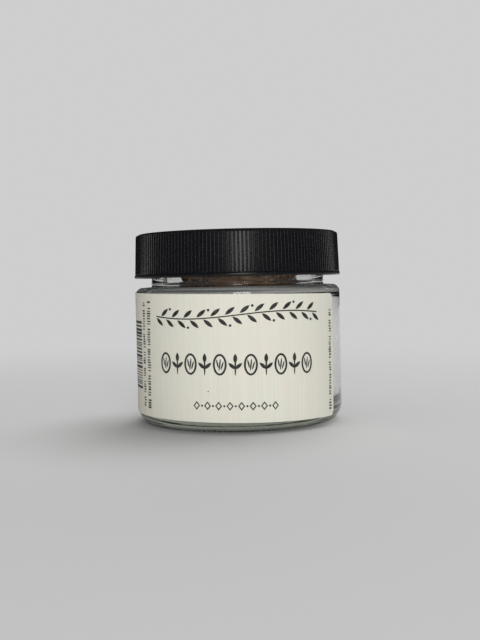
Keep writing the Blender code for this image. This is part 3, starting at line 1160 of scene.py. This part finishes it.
class NUTJAR_OT_stage(bpy.types.Operator):
    """Adds the pale floor, the soft lights and the camera"""

    bl_idname = "nutjar.stage"
    bl_label = "Stage"

    def execute(self, context):
        sizes = context.scene.nutjar_stage
        select_none()
        bpy.ops.mesh.primitive_circle_add(vertices=96, radius=FLOOR_R, fill_type="NGON")
        floor = named("floor")
        open_mesh("FACE")
        for _ in range(FLOOR_RINGS):
            bpy.ops.mesh.inset(thickness=FLOOR_RING_WIDTH)
        finish_mode()
        floor.data.materials.append(floor_material(sizes.pale))
        set_world(sizes.pale, sizes.room_light)
        for name, place, size, power, in_gloss in LIGHTS:
            add_area_light(name, place, size, getattr(sizes, power), in_gloss)
        add_camera(sizes)
        context.scene.view_settings.view_transform = "Standard"
        return {"FINISHED"}


# ---------------- the panel's values


class GlassSizes(bpy.types.PropertyGroup):
    grips: bpy.props.IntProperty(
        name="Base Grips",
        description="How many short grips ring the foot of the jar",
        default=112,
        min=24,
    )


class CapSizes(bpy.types.PropertyGroup):
    ribs: bpy.props.IntProperty(
        name="Ribs", description="How many upright ribs the cap's skirt has", default=173, min=24
    )
    rib_height: bpy.props.FloatProperty(
        name="Rib Height", description="How far a rib stands out", default=0.26 * MM, unit="LENGTH"
    )


class LabelSizes(bpy.types.PropertyGroup):
    length: bpy.props.FloatProperty(
        name="Length",
        description="The label's length round the jar",
        default=101.6 * MM,
        unit="LENGTH",
    )
    height: bpy.props.FloatProperty(
        name="Height", description="The label's height", default=37.2 * MM, unit="LENGTH"
    )
    corner: bpy.props.FloatProperty(
        name="Corner Radius",
        description="The round at the label's corners",
        default=2.0 * MM,
        unit="LENGTH",
    )
    thickness: bpy.props.FloatProperty(
        name="Thickness", description="The paper's thickness", default=0.12 * MM, unit="LENGTH"
    )
    tilt: bpy.props.FloatProperty(
        name="Tilt",
        description="How crooked it is stuck on",
        default=math.radians(0.93),
        unit="ROTATION",
    )


class NutmegSizes(bpy.types.PropertyGroup):
    detail: bpy.props.IntProperty(
        name="Detail", description="Subdivisions of each nutmeg's surface", default=6, min=3, max=6
    )


class StageSizes(bpy.types.PropertyGroup):
    pale: bpy.props.FloatProperty(
        name="Pale Tone", description="Tone of the floor and room", default=0.62
    )
    room_light: bpy.props.FloatProperty(
        name="Room Light", description="Light from all round", default=0.36
    )
    front_watts: bpy.props.FloatProperty(
        name="Front Light", description="Power of the front softbox", default=4.8, unit="POWER"
    )
    fill_watts: bpy.props.FloatProperty(
        name="Fill Light", description="Power of the front fill", default=5.5, unit="POWER"
    )
    back_watts: bpy.props.FloatProperty(
        name="Back Light",
        description="Power of the weak fill from behind",
        default=4.0,
        unit="POWER",
    )
    top_watts: bpy.props.FloatProperty(
        name="Top Light", description="Power of the top softbox", default=10.0, unit="POWER"
    )
    camera_away: bpy.props.FloatProperty(
        name="Camera Distance", description="From the jar's axis", default=308 * MM, unit="LENGTH"
    )
    camera_height: bpy.props.FloatProperty(
        name="Camera Height", description="Above the floor", default=44.1 * MM, unit="LENGTH"
    )
    camera_side: bpy.props.FloatProperty(
        name="Camera Offset",
        description="To the right of the jar's axis",
        default=0.57 * MM,
        unit="LENGTH",
    )
    camera_pitch: bpy.props.FloatProperty(
        name="Camera Pitch", description="Downwards", default=math.radians(2.29), unit="ROTATION"
    )
    camera_roll: bpy.props.FloatProperty(
        name="Camera Roll", description="Clockwise", default=math.radians(-1.25), unit="ROTATION"
    )
    camera_lens: bpy.props.FloatProperty(
        name="Camera Lens", description="Focal length in millimetres", default=53.97, unit="CAMERA"
    )


GROUPS = {
    "nutjar_glass": GlassSizes,
    "nutjar_cap": CapSizes,
    "nutjar_label": LabelSizes,
    "nutjar_nutmegs": NutmegSizes,
    "nutjar_stage": StageSizes,
}
OPERATORS = (
    NUTJAR_OT_glass,
    NUTJAR_OT_cap,
    NUTJAR_OT_label,
    NUTJAR_OT_print,
    NUTJAR_OT_nutmegs,
    NUTJAR_OT_stage,
)


class NUTJAR_PT_panel(bpy.types.Panel):
    """Lists the jar's pieces and their sizes"""

    bl_idname = "NUTJAR_PT_panel"
    bl_label = "Nutmeg Jar"
    bl_space_type = "VIEW_3D"
    bl_region_type = "UI"
    bl_category = "Nutmeg Jar"

    def draw(self, context):
        for operator in OPERATORS:
            self.layout.operator(operator.bl_idname)
        for name, group in GROUPS.items():
            box = self.layout.box()
            for value in group.__annotations__:
                box.prop(getattr(context.scene, name), value)


CLASSES = (*GROUPS.values(), *OPERATORS, NUTJAR_PT_panel)


def register():
    for each in CLASSES:
        bpy.utils.register_class(each)
    for name, group in GROUPS.items():
        setattr(bpy.types.Scene, name, bpy.props.PointerProperty(type=group))


def unregister():
    for name in GROUPS:
        delattr(bpy.types.Scene, name)
    for each in reversed(CLASSES):
        bpy.utils.unregister_class(each)


def main():
    register()
    bpy.ops.nutjar.glass()
    bpy.ops.nutjar.cap()
    bpy.ops.nutjar.label()
    bpy.ops.nutjar.print()
    bpy.ops.nutjar.nutmegs()
    bpy.ops.nutjar.stage()


if __name__ == "__main__":
    main()
